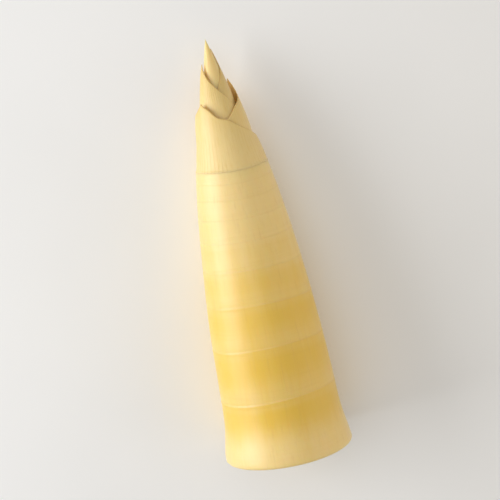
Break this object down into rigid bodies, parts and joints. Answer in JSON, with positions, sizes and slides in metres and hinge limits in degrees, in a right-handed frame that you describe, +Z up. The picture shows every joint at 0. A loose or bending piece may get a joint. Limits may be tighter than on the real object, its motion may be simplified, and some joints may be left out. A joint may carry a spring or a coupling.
{
  "type": "bamboo shoot",
  "caption": "Peeled boiled bamboo shoot lying on its side: a solid tapering ringed stem, cut flat at its base, with tender sheaths wrapped round its pointed tip.",
  "frame": {"origin": "on the surface the shoot lies on, below the middle of its box", "axes": "+Y along the shoot from the cut base towards the tip, +Z up, +X to the right when looking towards the tip"},
  "size_m": [0.0448, 0.1462, 0.0439],
  "materials": {
    "boiled_flesh": "moist, smooth cream to yellow boiled flesh, slightly translucent",
    "tender_sheath": "moist, thin pale cream tender sheath with fine lengthwise veins"
  },
  "bodies": {
    "root": {"stem": "boiled_flesh", "tip_sheath_1": "tender_sheath", "tip_sheath_2": "tender_sheath", "tip_sheath_3": "tender_sheath", "tip_sheath_4": "tender_sheath"}
  },
  "joints": []
}
